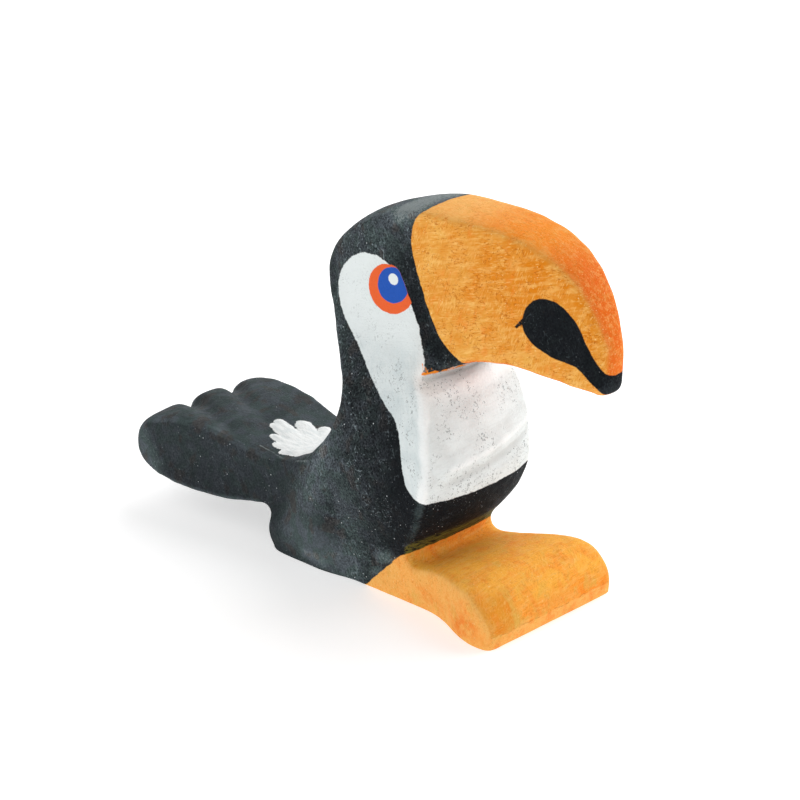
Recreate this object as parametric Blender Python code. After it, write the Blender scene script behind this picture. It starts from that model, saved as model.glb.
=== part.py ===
"""A small toucan carved from one block of wood, standing on its flat underside.

The block is made the way a carver makes it. The side pattern is sawn from a board, the widths
are cut back with a knife, the tail is gouged into three feathers, and the edges are sanded.
Metres, +Z up. The bird faces -Y, and its right side faces -X.
"""
import math

import bmesh
import bpy
import numpy as np

# Driving sizes.
HEIGHT = 0.0688
CROWN_WIDTH = 0.0134
BEAK_WIDTH = 0.0132
CHEEK_WIDTH = 0.0172
SHOULDER_WIDTH = 0.0250
CHEST_WIDTH = 0.0274
BODY_WIDTH = 0.0280
HIP_WIDTH = 0.0268
ANKLE_WIDTH = 0.0222
FOOT_WIDTH = 0.0314
FOOT_LEFT_FLARE = 0.0004
FOOT_CORNER_RADIUS = 0.0016
TAIL_ROOT_WIDTH = 0.0208
TAIL_END_WIDTH = 0.0268
TAIL_CORNER_RADIUS = 0.0018
FEATHER_GROOVE_WIDTH = 0.0050
FEATHER_GROOVE_DEPTH = 0.0017
FEATHER_NOTCH_WIDTH = 0.0052
FEATHER_NOTCH_DEPTH = 0.0030
SAW_ALLOWANCE = 0.0002
SANDING_GRAIN = 0.00065
SANDING_PASSES = 10
FACET_SHARE = 0.13
PLANED_DEPTH = 0.01

# The board is sawn a little thicker than the widest place that is carved from it.
BOARD_THICKNESS = max(FOOT_WIDTH + 2.0 * FOOT_LEFT_FLARE, BODY_WIDTH, TAIL_END_WIDTH) + SAW_ALLOWANCE

# The side pattern is drawn on squares, PATTERN_SQUARES of them to the height. A knot is
# (squares behind the beak's front, squares up, how far the edge falls away 10 squares off centre).
PATTERN_SQUARES = 68.8
SQUARE = HEIGHT / PATTERN_SQUARES
PATTERN_LENGTH = 101.6
CROWN_REACH = 10.0
SIDE_PATTERN = (
    (0.3, 47.8, 1.0),
    (0.4, 52.2, 1.4),
    (1.9, 56.6, 1.4),
    (4.6, 61.2, 1.4),
    (8.6, 65.0, 1.4),
    (14.4, 67.6, 1.2),
    (22.0, 68.8, 1.0),
    (30.0, 68.9, 1.4),
    (37.6, 68.6, 1.6),
    (44.4, 67.0, 2.4),
    (50.2, 64.6, 3.0),
    (55.2, 61.1, 3.0),
    (58.9, 57.2, 2.6),
    (60.6, 52.8, 2.2),
    (59.7, 48.8, 1.8),
    (57.0, 44.4, 1.6),
    (54.0, 39.4, 1.4),
    (51.8, 34.8, 1.2),
    (52.4, 29.8, 1.0),
    (54.9, 24.9, 0.6),
    (58.6, 20.6, 0.2),
    (64.0, 17.4, 0.0),
    (69.4, 16.6, 0.0),
    (75.0, 17.3, 0.0),
    (81.0, 18.5, 0.0),
    (88.0, 18.9, 0.2),
    (94.6, 18.3, 0.4),
    (99.2, 16.2, 0.4),
    (101.4, 12.4, 0.2),
    (100.8, 8.6, 0.0),
    (96.8, 6.1, 0.0),
    (89.0, 5.0, 0.0),
    (80.0, 5.0, 0.0),
    (73.4, 6.2, 0.0),
    (70.2, 6.6, 0.0),
    (68.6, 5.5, 0.0),
    (69.4, 3.5, 0.0),
    (69.0, 1.2, 0.0),
    (67.2, -0.6, 0.0),
    (63.0, -1.4, 0.0),
    (40.0, -1.4, 0.0),
    (18.0, -1.4, 0.0),
    (13.8, -0.8, 0.0),
    (12.6, 1.2, 0.0),
    (12.7, 3.8, 0.2),
    (14.4, 7.0, 0.4),
    (18.2, 9.2, 0.4),
    (24.0, 9.0, 0.3),
    (30.0, 7.8, 0.2),
    (34.6, 7.0, 0.2),
    (35.5, 8.2, 0.6),
    (32.8, 11.0, 1.0),
    (29.7, 14.4, 1.3),
    (27.8, 18.2, 1.4),
    (26.9, 22.8, 1.4),
    (27.0, 27.2, 1.4),
    (28.0, 32.4, 1.4),
    (29.4, 37.4, 1.4),
    (31.4, 40.0, 1.2),
    (34.0, 40.8, 0.8),
    (30.6, 42.2, 0.4),
    (25.6, 44.4, 0.2),
    (19.0, 45.6, 0.2),
    (12.0, 45.3, 0.2),
    (5.4, 44.6, 0.2),
    (1.2, 44.2, 0.4),
)
CURVE_STEPS = 6
BOARD_STATIONS = 9

# The heights of the base, belly, body, shoulder, cheek, brow and crown, where the body's widths
# are set, and how the widths between the named ones are drawn from them.
WIDTH_LEVELS = (0.0, 10.0, 22.0, 35.0, 46.0, 57.0, 68.0)
BASE_SHARE = 0.96
BELLY_SHARE = 0.98
BROW_BLEND = 0.85

# Where the widths change, in pattern squares back and up.
BEAK_BASE_BACK = 37.0
THROAT_BACK = 34.0
THROAT_UP = 41.0
BEAK_BASE_UP = 55.0
BEAK_BLEND = 2.2
THROAT_BLEND = 1.0
BEAK_TAPER_FRONT = -1.2
BEAK_MIN_SHARE = 0.10
NAPE_START_BACK = 46.0
NAPE_END_BACK = 60.0
NAPE_START_UP = 30.0
NAPE_END_UP = 52.0
NAPE_SHARE = 0.70
FOOT_TOP_UP = 5.0
BELLY_UP = 20.0
FOOT_FRONT_BACK = 12.6
FOOT_FLARE_START_BACK = 16.0
FOOT_FLARE_BACK = 31.0
ANKLE_END_BACK = 47.0
HIP_START_BACK = 56.0
CHEST_CORNER_BACK = 26.0
FLANK_BACK = 42.0
HIP_EDGE_BACK = 60.0
HIP_EDGE_LEAN = 0.3
HIP_TO_TAIL = 10.0
TAIL_TOP_UP = 20.0
TAIL_FADE_UP = 28.0
TAIL_END_BACK = 97.0
HEEL_BACK = 69.0
HEEL_CORNER = 6.0
HEEL_STEP = 2.0
HEEL_SHARE = 0.90
HEEL_UP = 4.0
TAIL_UNDERSIDE_UP = 8.0
BASE_TUCK = 0.95
BASE_TUCK_UP = 5.0

# The tail's grooves, at places on the pattern and shares of the tail's width. The carver's cuts
# drift towards the bird's right as they near the root, and its right feather is the broadest.
TAIL_TOP = ((70.0, 76.0, 86.0, 93.0, 98.0, 106.0), (16.4, 17.2, 18.8, 18.3, 16.4, 13.4))
GROOVE_ROOT_BACK = 75.0
GROOVE_BACKS = (75.0, 88.0, 98.0, 106.0)
GROOVE_SHARES = {-1.0: (-0.39, -0.25, -0.10, -0.09), 1.0: (-0.12, 0.07, 0.29, 0.31)}
NOTCH_BACK = 98.5
GROOVE_FULL_SHARE = 0.7
GROOVE_STATIONS = 13
ROUND = np.linspace(0.0, 2.0 * math.pi, 20, endpoint=False)

# The carved side faces are laid out on a grid of squares that reaches past the side pattern.
FIELD_STEP = 1.0
FIELD_MARGIN = 4.0


def smooth(low, high, value):
    """0 below low, 1 above high, and an S curve between."""
    share = np.clip((value - low) / (high - low), 0.0, 1.0)
    return share * share * (3.0 - 2.0 * share)


def mix(first, second, share):
    """The value a share of the way from first to second."""
    return first + (second - first) * share


def curve_through(at, places, values):
    """A smooth curve through values set at rising places."""
    places = np.array(places)
    values = np.array(values)
    slopes = np.gradient(values, places, axis=0)
    at = np.clip(at, places[0], places[-1])
    index = np.clip(np.searchsorted(places, at) - 1, 0, len(places) - 2)
    span = places[index + 1] - places[index]
    t = (at - places[index]) / span
    if values.ndim > 1:
        span = span[:, None]
        t = t[:, None]
    rise = values[index + 1] - values[index]
    start = slopes[index] * span - rise
    finish = rise - slopes[index + 1] * span
    return mix(values[index], values[index + 1], t) + t * (1.0 - t) * (start * (1.0 - t) + finish * t)


def closed_curve(knots, steps):
    """A smooth closed curve through the knots, which may be spaced unevenly."""
    knots = np.array(knots)
    wrapped = np.concatenate([knots[-2:], knots, knots[:3]])
    gaps = np.sqrt(np.linalg.norm(np.diff(wrapped[:, :2], axis=0), axis=1))
    places = np.concatenate([[0.0], np.cumsum(gaps)])
    at = [mix(places[index + 2], places[index + 3], step / steps)
          for index in range(len(knots)) for step in range(steps)]
    return curve_through(np.array(at), places, wrapped)


def outward_normals(points):
    """The directions out of a closed outline that runs clockwise, seen from the bird's right."""
    along = np.roll(points, -1, axis=0) - np.roll(points, 1, axis=0)
    along /= np.linalg.norm(along, axis=1)[:, None]
    return np.stack([-along[:, 1], along[:, 0]], axis=1)


def to_block(back, up, side):
    """Pattern squares to metres, with the origin under the middle of the pattern's length."""
    return (side, (back - PATTERN_LENGTH / 2.0) * SQUARE, up * SQUARE)


def mesh_object(name, build):
    """A new object whose mesh is filled in by the function build."""
    mesh = bpy.data.meshes.new(name)
    shape = bmesh.new()
    build(shape)
    bmesh.ops.recalc_face_normals(shape, faces=shape.faces)
    shape.to_mesh(mesh)
    shape.free()
    item = bpy.data.objects.new(name, mesh)
    bpy.context.scene.collection.objects.link(item)
    return item


def skin(shape, loops):
    """Joins a row of closed loops with quads and closes both ends."""
    rows = [[shape.verts.new(point) for point in loop] for loop in loops]
    for row, following in zip(rows[:-1], rows[1:]):
        for index in range(len(row)):
            after = (index + 1) % len(row)
            shape.faces.new((row[index], row[after], following[after], following[index]))
    shape.faces.new(rows[0])
    shape.faces.new(reversed(rows[-1]))


def sawn_board():
    """The board sawn to the side pattern, its edges falling away from the centre line."""
    curve = closed_curve(SIDE_PATTERN, CURVE_STEPS)
    outline = curve[:, :2]
    fall = curve[:, 2]
    normals = outward_normals(outline)
    half = BOARD_THICKNESS / 2.0
    loops = []
    for station in np.linspace(-1.0, 1.0, BOARD_STATIONS):
        side = half * station
        off_centre = side / SQUARE / CROWN_REACH
        edge = outline - normals * (fall * off_centre ** 2)[:, None]
        loops.append([to_block(back, up, side) for back, up in edge])
    return mesh_object("sawn_board", lambda shape: skin(shape, loops))


def body_half_width(up):
    """Half the body's width by height alone, from the base up to the crown."""
    widths = (BODY_WIDTH * BASE_SHARE, BODY_WIDTH * BELLY_SHARE, BODY_WIDTH, SHOULDER_WIDTH, CHEEK_WIDTH,
              mix(CHEEK_WIDTH, CROWN_WIDTH, BROW_BLEND), CROWN_WIDTH)
    return curve_through(up, WIDTH_LEVELS, widths) / 2.0


def beak_half_width(back):
    """Half the beak's width: seen from above, the beak is half an ellipse."""
    reach = np.clip((BEAK_BASE_BACK - back) / (BEAK_BASE_BACK - BEAK_TAPER_FRONT), 0.0, 1.0)
    return BEAK_WIDTH / 2.0 * np.maximum(np.sqrt(1.0 - reach ** 2), BEAK_MIN_SHARE)


def corner_loss(from_end, radius):
    """How far a rounded corner pulls a side face in, at a number of squares from the end."""
    inset = np.clip(radius - from_end * SQUARE, 0.0, radius)
    return radius - np.sqrt(radius ** 2 - inset ** 2)


def foot_half_width(back, side):
    """Half the foot's width: narrow at the ankle, flared in front, with rounded corners."""
    flared = FOOT_WIDTH / 2.0 + (FOOT_LEFT_FLARE if side > 0.0 else 0.0)
    width = mix(flared, ANKLE_WIDTH / 2.0, smooth(FOOT_FLARE_START_BACK, FOOT_FLARE_BACK, back))
    return width - corner_loss(back - FOOT_FRONT_BACK, FOOT_CORNER_RADIUS)


def tail_half_width(back, root):
    """Half the tail's width: it fans out from its root to three rounded feathers."""
    width = mix(TAIL_ROOT_WIDTH, TAIL_END_WIDTH, smooth(root, TAIL_END_BACK, back))
    return width / 2.0 - corner_loss(PATTERN_LENGTH - back, TAIL_CORNER_RADIUS)


def half_width(back, up, side):
    """Half the carved figure's width at a place on the side pattern, on the bird's left or right."""
    width = body_half_width(up)
    width *= mix(CHEST_WIDTH / BODY_WIDTH, 1.0, smooth(CHEST_CORNER_BACK, FLANK_BACK, back))
    width *= mix(1.0, HIP_WIDTH / BODY_WIDTH, smooth(FLANK_BACK, HIP_EDGE_BACK, back))
    width *= mix(BASE_TUCK, 1.0, smooth(0.0, BASE_TUCK_UP, up))

    nape = smooth(NAPE_START_BACK, NAPE_END_BACK, back) * smooth(NAPE_START_UP, NAPE_END_UP, up)
    width *= mix(1.0, NAPE_SHARE, nape ** 2)

    base = mix(THROAT_BACK, BEAK_BASE_BACK, smooth(THROAT_UP, BEAK_BASE_UP, up))
    in_beak = 1.0 - smooth(base - BEAK_BLEND, base + BEAK_BLEND, back)
    in_beak *= smooth(THROAT_UP - THROAT_BLEND, THROAT_UP + THROAT_BLEND, up)
    width = mix(width, np.minimum(beak_half_width(back), width), in_beak)

    in_foot = 1.0 - smooth(ANKLE_END_BACK, HIP_START_BACK, back)
    in_foot *= 1.0 - smooth(FOOT_TOP_UP, BELLY_UP, up)
    width = mix(width, foot_half_width(back, side), in_foot)

    heel = width * mix(1.0, HEEL_SHARE, smooth(HEEL_BACK - HEEL_CORNER, HEEL_BACK, back) ** 2)
    hip_edge = HIP_EDGE_BACK - HIP_EDGE_LEAN * up
    tail_root = hip_edge + HIP_TO_TAIL
    in_tail = smooth(hip_edge, tail_root, back) * (1.0 - smooth(TAIL_TOP_UP, TAIL_FADE_UP, up))
    tail = mix(width, tail_half_width(back, tail_root), in_tail)
    behind_heel = smooth(HEEL_BACK, HEEL_BACK + HEEL_STEP, back)
    return mix(heel, tail, np.maximum(smooth(HEEL_UP, TAIL_UNDERSIDE_UP, up), behind_heel))


def carved_widths():
    """A slab that holds the figure's carved side faces, and reaches past its side pattern."""
    backs = np.arange(-FIELD_MARGIN, PATTERN_LENGTH + FIELD_MARGIN + FIELD_STEP, FIELD_STEP)
    ups = np.arange(-FIELD_MARGIN, PATTERN_SQUARES + FIELD_MARGIN + FIELD_STEP, FIELD_STEP)

    def build(shape):
        """Two displaced grids joined along their rims."""
        faces = {}
        for sign in (-1.0, 1.0):
            faces[sign] = [[shape.verts.new(to_block(back, up, sign * float(half_width(back, up, sign))))
                            for up in ups] for back in backs]
            for column, following in zip(faces[sign][:-1], faces[sign][1:]):
                for low in range(len(ups) - 1):
                    shape.faces.new((column[low], following[low], following[low + 1], column[low + 1]))
        rim = [(i, 0) for i in range(len(backs) - 1)]
        rim += [(len(backs) - 1, j) for j in range(len(ups) - 1)]
        rim += [(i, len(ups) - 1) for i in range(len(backs) - 1, 0, -1)]
        rim += [(0, j) for j in range(len(ups) - 1, 0, -1)]
        for (i, j), (k, m) in zip(rim, rim[1:] + rim[:1]):
            shape.faces.new((faces[-1.0][i][j], faces[-1.0][k][m], faces[1.0][k][m], faces[1.0][i][j]))

    return mesh_object("carved_widths", build)


def feather_groove(side):
    """A gouge that parts two tail feathers: it deepens and dips towards the tail's end."""
    radius = FEATHER_GROOVE_WIDTH / 2.0 / SQUARE
    loops = []
    for along in np.linspace(0.0, 1.0, GROOVE_STATIONS):
        back = mix(GROOVE_ROOT_BACK, PATTERN_LENGTH + FIELD_MARGIN, along)
        depth = FEATHER_GROOVE_DEPTH / SQUARE * smooth(0.0, GROOVE_FULL_SHARE, along)
        up = curve_through(back, *TAIL_TOP) - depth + radius
        middle = TAIL_END_WIDTH * curve_through(back, GROOVE_BACKS, GROOVE_SHARES[side])
        loops.append([to_block(back, up + radius * math.cos(angle),
                               middle + radius * SQUARE * math.sin(angle)) for angle in ROUND])
    return mesh_object("feather_groove", lambda shape: skin(shape, loops))


def feather_notch(side):
    """An upright file cut that scallops the tail's end between two feathers."""
    middle = TAIL_END_WIDTH * curve_through(NOTCH_BACK, GROOVE_BACKS, GROOVE_SHARES[side])
    deep = FEATHER_NOTCH_DEPTH / SQUARE
    wide = FEATHER_NOTCH_WIDTH / 2.0
    loops = [[to_block(PATTERN_LENGTH + deep * math.cos(angle), up, middle + wide * math.sin(angle))
              for angle in ROUND] for up in (0.0, TAIL_FADE_UP)]
    return mesh_object("feather_notch", lambda shape: skin(shape, loops))


def floor_block():
    """What is planed away under the figure, so that it stands on a true flat."""
    item = mesh_object("floor_block", lambda shape: bmesh.ops.create_cube(shape, size=1.0))
    for vertex in item.data.vertices:
        vertex.co.x *= BOARD_THICKNESS * 2.0
        vertex.co.y *= PATTERN_LENGTH * SQUARE * 2.0
        vertex.co.z = (vertex.co.z - 0.5) * PLANED_DEPTH
    return item


def cut(target, tool, operation):
    """Applies one exact Boolean to the target and hides the tool."""
    modifier = target.modifiers.new(tool.name, "BOOLEAN")
    modifier.operation = operation
    modifier.solver = "EXACT"
    modifier.object = tool
    tool.hide_render = True
    tool.display_type = "WIRE"


def sand(target):
    """Rounds the cut edges by hand: a fine remesh, smoothing, then as few facets as carry it."""
    remesh = target.modifiers.new("sanding_grain", "REMESH")
    remesh.mode = "VOXEL"
    remesh.voxel_size = SANDING_GRAIN
    remesh.adaptivity = 0.0
    soften = target.modifiers.new("sanding", "SMOOTH")
    soften.factor = 0.5
    soften.iterations = SANDING_PASSES
    thin = target.modifiers.new("facets", "DECIMATE")
    thin.decimate_type = "COLLAPSE"
    thin.ratio = FACET_SHARE


def paint(target):
    """The black ground coat that covers most of the wood."""
    material = bpy.data.materials.new("painted_wood")
    material.use_nodes = True
    shader = material.node_tree.nodes["Principled BSDF"]
    shader.inputs["Base Color"].default_value = (0.020, 0.022, 0.024, 1.0)
    shader.inputs["Roughness"].default_value = 0.6
    shader.inputs["Metallic"].default_value = 0.0
    target.data.materials.append(material)


def main():
    """Builds the figure."""
    for item in list(bpy.data.objects):
        bpy.data.objects.remove(item)
    toucan = sawn_board()
    toucan.name = "toucan"
    cut(toucan, carved_widths(), "INTERSECT")
    for side in (-1.0, 1.0):
        cut(toucan, feather_groove(side), "DIFFERENCE")
        cut(toucan, feather_notch(side), "DIFFERENCE")
    sand(toucan)
    cut(toucan, floor_block(), "DIFFERENCE")
    paint(toucan)


main()
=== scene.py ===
"""The finished look of a small toucan carved from one block of wood and painted by hand.

The block is carved finer than its solid, the painted areas are marked on it, and one material
brushes them on. Metres, +Z up. The bird faces -Y, and its right side faces -X.
"""
import math

import bmesh
import bpy
import numpy as np
from mathutils import Euler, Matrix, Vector


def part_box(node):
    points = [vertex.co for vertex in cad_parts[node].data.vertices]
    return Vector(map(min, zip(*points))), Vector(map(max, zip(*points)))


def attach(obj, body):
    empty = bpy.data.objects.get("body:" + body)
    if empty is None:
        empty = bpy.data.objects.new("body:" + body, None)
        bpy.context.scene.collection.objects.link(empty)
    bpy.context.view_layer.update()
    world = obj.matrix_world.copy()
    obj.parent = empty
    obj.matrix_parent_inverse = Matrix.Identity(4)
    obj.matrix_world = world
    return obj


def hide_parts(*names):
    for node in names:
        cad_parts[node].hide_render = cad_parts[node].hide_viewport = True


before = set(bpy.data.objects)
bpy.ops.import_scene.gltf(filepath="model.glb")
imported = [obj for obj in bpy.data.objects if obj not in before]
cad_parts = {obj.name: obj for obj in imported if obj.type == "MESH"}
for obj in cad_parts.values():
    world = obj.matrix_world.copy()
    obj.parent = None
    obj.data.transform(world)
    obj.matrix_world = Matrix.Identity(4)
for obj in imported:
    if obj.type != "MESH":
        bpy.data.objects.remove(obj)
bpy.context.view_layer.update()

bl_info = {
    "name": "Painted wooden toucan",
    "version": (1, 0, 0),
    "blender": (4, 5, 0),
    "location": "3D View > Sidebar > Toucan",
    "description": "Carves the toucan's block finer, paints it by hand and sets it in a soft studio",
    "category": "Object",
}

BLOCK = "toucan"
BODY = "root"
LOW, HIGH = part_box(BLOCK)

# The side pattern is drawn on squares, 68.9 of them to the figure's height. Places on it are
# (squares behind the beak's front, squares up). PATTERN_MIDDLE is the square over the origin.
PATTERN_SQUARES = 68.9
SQUARE = (HIGH.z - LOW.z) / PATTERN_SQUARES
PATTERN_MIDDLE = 50.8
PER_MM = 1000.0

# The painted areas, drawn on the side pattern and shared by both sides of the bird. A dab or a
# flick of the brush is (from, to, width at its start, width at its end).
BIB = (
    (34.2, 42.4), (34.9, 44.6), (35.8, 47.2), (37.2, 50.2), (38.9, 53.0), (40.4, 55.4), (41.6, 56.9),
    (44.2, 57.7), (47.0, 58.2), (50.0, 57.8), (53.4, 55.8), (55.6, 53.2), (56.1, 50.6), (55.2, 48.2),
    (53.4, 46.4), (50.8, 44.6), (47.6, 42.2), (44.8, 39.8), (42.2, 37.6), (39.4, 35.3), (36.8, 33.5),
    (35.4, 30.8), (34.8, 27.8), (34.0, 24.6), (32.7, 22.2), (30.6, 20.7), (28.4, 20.3), (24.0, 20.9),
    (14.0, 21.2), (14.0, 42.0), (24.0, 41.9), (31.0, 41.3), (33.4, 40.9), (34.3, 41.4),
)
BEAK = (
    (36.2, 72.0), (36.3, 68.6), (37.6, 67.0), (38.7, 64.4), (38.7, 61.4), (37.7, 58.4), (36.3, 55.0),
    (34.9, 51.6), (33.2, 48.4), (31.3, 46.2), (28.9, 44.6), (27.4, 43.6), (24.0, 42.2), (10.0, 40.0),
    (-8.0, 40.0), (-8.0, 60.0), (-8.0, 72.0), (10.0, 76.0),
)
BEAK_SPOT = (
    (15.8, 54.3), (15.1, 56.8), (13.2, 58.6), (11.2, 59.0), (9.4, 58.8), (7.4, 57.5), (5.6, 55.6),
    (4.2, 52.8), (2.8, 50.4), (1.2, 48.4), (-0.8, 47.4), (-3.0, 47.0), (-3.0, 43.6), (0.4, 43.6),
    (1.8, 45.0), (3.7, 46.8), (5.6, 48.5), (7.6, 49.0), (9.6, 49.3), (11.8, 50.0), (14.0, 51.1),
    (15.4, 52.6),
)
BEAK_SPOT_FLICK = ((15.2, 54.8), (17.0, 53.0), 0.92, 0.46)
FOOT = (
    (46.0, -3.0), (44.7, 0.4), (42.8, 2.4), (41.0, 4.2), (39.4, 5.8), (37.9, 7.4), (36.4, 8.5),
    (34.8, 9.0), (31.0, 10.8), (24.0, 13.0), (6.0, 13.0), (6.0, -3.0),
)
EYE_RING = ((42.9, 53.4), (5.0, 4.1), 0.0)
EYE_IRIS = ((42.3, 54.2), (3.5, 3.0), -0.35)
EYE_GLINT = ((42.3, 55.2), (1.12, 0.95), 0.0)

# The white splash on the rump, seen from above: dabs that fan out towards the tail, placed by
# (side, back). It lies behind RUMP_FRONT_BACK, between RUMP_LOW_UP and RUMP_TOP_UP.
RUMP_DABS = (
    ((-3.0, 66.0), (-1.8, 76.6), 5.6, 1.9),
    ((-2.4, 68.0), (-0.2, 76.8), 4.6, 2.0),
    ((-1.6, 66.0), (2.6, 73.6), 5.2, 3.2),
    ((-1.6, 64.0), (4.4, 70.0), 5.0, 2.6),
    ((-4.0, 66.0), (-4.6, 73.6), 4.6, 2.0),
    ((-5.2, 65.0), (-6.2, 71.0), 4.4, 2.4),
    ((-5.8, 63.0), (-7.6, 68.2), 4.0, 2.2),
    ((-4.6, 61.0), (-7.2, 64.4), 4.0, 2.6),
    ((-4.6, 61.4), (1.2, 65.6), 4.6, 3.6),
)
RUMP_TOP_UP = 23.0
RUMP_LOW_UP = 14.0
RUMP_FRONT_BACK = 56.5

# The pale line that curves round the bird's right of the splash is a painted highlight along the crease where
# the tail's top meets its side: (side, back, up) along it, and the widths between which each stretch of it
# tapers.
RUMP_HIGHLIGHT_LINE = ((-8.8, 73.0, 16.9), (-8.9, 69.7, 16.6), (-9.4, 67.4, 16.6), (-10.0, 64.6, 17.0),
             (-10.7, 61.9, 17.9), (-11.8, 59.3, 19.0), (-12.9, 56.8, 20.1))
RUMP_HIGHLIGHT_WIDTHS = (0.40, 0.20)

# Where the black is brushed thin and slate shows, and where the slate paints light on the black: (from, to,
# radius, share), in squares. The hip's edge, the tail's top and end and the crown carry painted sheen and
# highlights, and the heel carries a painted reflection of the white table.
SLATE_AND_SHEEN_PATCHES = (
    # The hip and its edge: painted sheen and a painted highlight line.
    ((52.0, 27.0), (54.0, 19.0), 3.4, 0.7),
    ((52.2, 30.0), (53.6, 22.6), 0.7, 1.15),
    ((53.6, 22.6), (58.2, 13.6), 0.7, 1.05),
    ((54.0, 18.5), (58.0, 12.0), 4.4, 0.7),
    # The heel: a painted reflection of the white table below.
    ((50.0, 3.0), (60.0, 6.0), 4.8, 0.86),
    ((54.0, 2.0), (58.5, 2.6), 1.8, 1.20),
    ((47.5, 10.0), (50.0, 20.0), 4.0, 0.40),
    # The top of the tail and its end: painted sheen.
    ((66.0, 16.0), (92.0, 16.0), 8.0, 0.20),
    ((96.5, 8.0), (100.0, 14.0), 2.6, 0.75),
    ((44.0, 63.0), (54.0, 60.0), 5.0, 0.36),
    # The crown, palest beside the orange: painted sheen.
    ((39.0, 68.2), (41.6, 67.0), 2.1, 2.3),
    ((42.0, 66.4), (50.0, 64.0), 2.2, 0.6),
    ((53.0, 40.0), (56.0, 54.0), 3.5, 0.30),
    ((39.6, 7.0), (41.6, 6.4), 1.3, 1.0),
    ((42.0, 3.6), (43.6, 2.6), 1.2, 0.7),
)

# Redder patches low on the sides of the foot, like the slate ones.
RUST_PATCHES = (
    ((18.0, 3.2), (20.5, 2.2), 2.3, 0.95),
    ((13.5, 9.5), (16.0, 11.0), 1.8, 0.4),
    ((28.0, 2.0), (31.0, 3.0), 1.8, 0.35),
)

# The orange line in the crease under the beak, and stray hairs of orange beside it.
THROAT_HAIRS = (((34.2, 41.0), (31.8, 40.7), 0.42, 0.21), ((34.6, 42.8), (34.2, 41.2), 0.15, 0.075),
                ((34.2, 42.3), (33.8, 40.9), 0.15, 0.075), ((33.6, 42.0), (33.5, 41.0), 0.13, 0.065))

# The knife's flats across the breast: (squares up at the middle, how far each one stands proud),
# how much they slope, and where they fade out: behind, above, on the bird's right, and where the
# surface turns away from the front.
BREAST_FLATS = ((39.8, 0.10), (36.6, -0.30), (32.4, 0.10), (29.6, -0.10), (27.0, 0.34), (24.5, -0.40),
                (22.4, 0.06), (19.6, 0.0))
BREAST_TILT = 0.15
BREAST_BACK = (34.0, 32.0)
BREAST_TOP = (41.5, 40.0)
BREAST_SIDE = (-11.5, -7.5)
BREAST_FACING = (0.35, 0.75)

# The value of a mark far outside its area, how far the eye may run over the face's edge, and how
# wide the edges of the proud coats are, in squares.
OUTSIDE = -20.0
EYE_OVERLAP = 0.25
DAB_EDGE = (-0.25, 1.5)
EYE_EDGE = (-0.12, 0.12)

# The ways the brush runs: up and down the sides, crossing them, along them, and across the bird.
STEEP_STROKE = (0.0, -0.39, -0.92)
CROSSED_STROKE = (0.0, 0.60, -0.80)
LEVEL_STROKE = (0.0, -0.96, 0.27)
RISING_STROKE = (0.0, -0.37, 0.93)
ACROSS_STROKE = (1.0, 0.08, 0.05)
SLANTED_STROKE = (0.6, 0.7, 0.4)
TAILWARD_STROKE = (0.1, 1.0, 0.2)

# Where the paint changes along the figure, in millimetres from the origin: each pair runs from
# none of a paint to all of it.
HEEL_UP = (14.0, 8.0)
HEEL_BACK = (-4.0, 3.0)
TAIL_BACK = (5.0, 14.0)
# The front of the body below the neck is kept darker: painted shade under the beak.
FRONT_SIDE_BACK = (-17.0, -5.0)
NECK_UP = (28.0, 38.0)
CROWN_UP = (57.0, 62.0)
# The breast's top under the beak, painted whiter: painted light where the beak shades it.
PAINTED_LIGHT_RIM_UP = (36.0, 39.0)
FACE_UP = (41.0, 47.0)
CALM_FACE_UP = (47.0, 40.0)
BEAK_CORNER_BACK = (-14.0, -40.0)
BEAK_CORNER_UP = (44.0, 62.0)
BEAK_TIP_BACK = (-35.0, -46.0)
BEAK_ROOT_BACK = (-32.0, -18.0)
FOOT_ACROSS = (-12.0, 10.0)
TOES_BACK = (-33.0, -36.0)
NEAR_TOE_ACROSS = (-6.0, -7.6)
SMEAR_NEAR_ACROSS = (-7.8, -6.8)
SMEAR_FAR_ACROSS = (-5.0, -6.2)
TOE_STRIP_UP = (2.9, 2.6)
TOE_LINE_UP = 2.75

# The olive lining above the foot, in squares inside the foot's edge.
LINING_INSIDE = (-2.2, -1.3)

# The finish: its name, how dull it is from its smoothest to its driest patches, its faint gloss,
# and how strongly its fine relief shows.
PAINTED_WOOD = "hand_painted_wood"
ROUGHNESS = (0.56, 0.74)
MATT_SPECULAR = 0.05
RELIEF_STRENGTH = 0.8

# Small marks in the paint, and colours that paint light: the pale specks and the straw nibs carry painted
# glints, the pale line is a painted highlight and sheen, the hollow grey is painted shade, and honey is
# partly painted light.
SPECK_AND_GLINT_PALE = (0.62, 0.66, 0.68, 1.0)
SCRATCH_BLUE = (0.170, 0.210, 0.225, 1.0)
HIGHLIGHT_PALE = (0.22, 0.25, 0.25, 1.0)
PORE_GREY = (0.13, 0.14, 0.14, 1.0)
ASH = (0.60, 0.62, 0.61, 1.0)
PAINTED_SHADE_GREY = (0.55, 0.57, 0.56, 1.0)
PORE_BROWN = (0.50, 0.120, 0.004, 1.0)
RUST = (0.86, 0.205, 0.020, 1.0)
NIB_AND_GLINT_STRAW = (0.97, 0.74, 0.34, 1.0)
HONEY_AND_PAINTED_LIGHT = (0.96, 0.46, 0.060, 1.0)
PEACH = (0.95, 0.470, 0.125, 1.0)
OLIVE_GOLD = (0.68, 0.43, 0.085, 1.0)
OLIVE = (0.145, 0.140, 0.030, 1.0)

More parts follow.
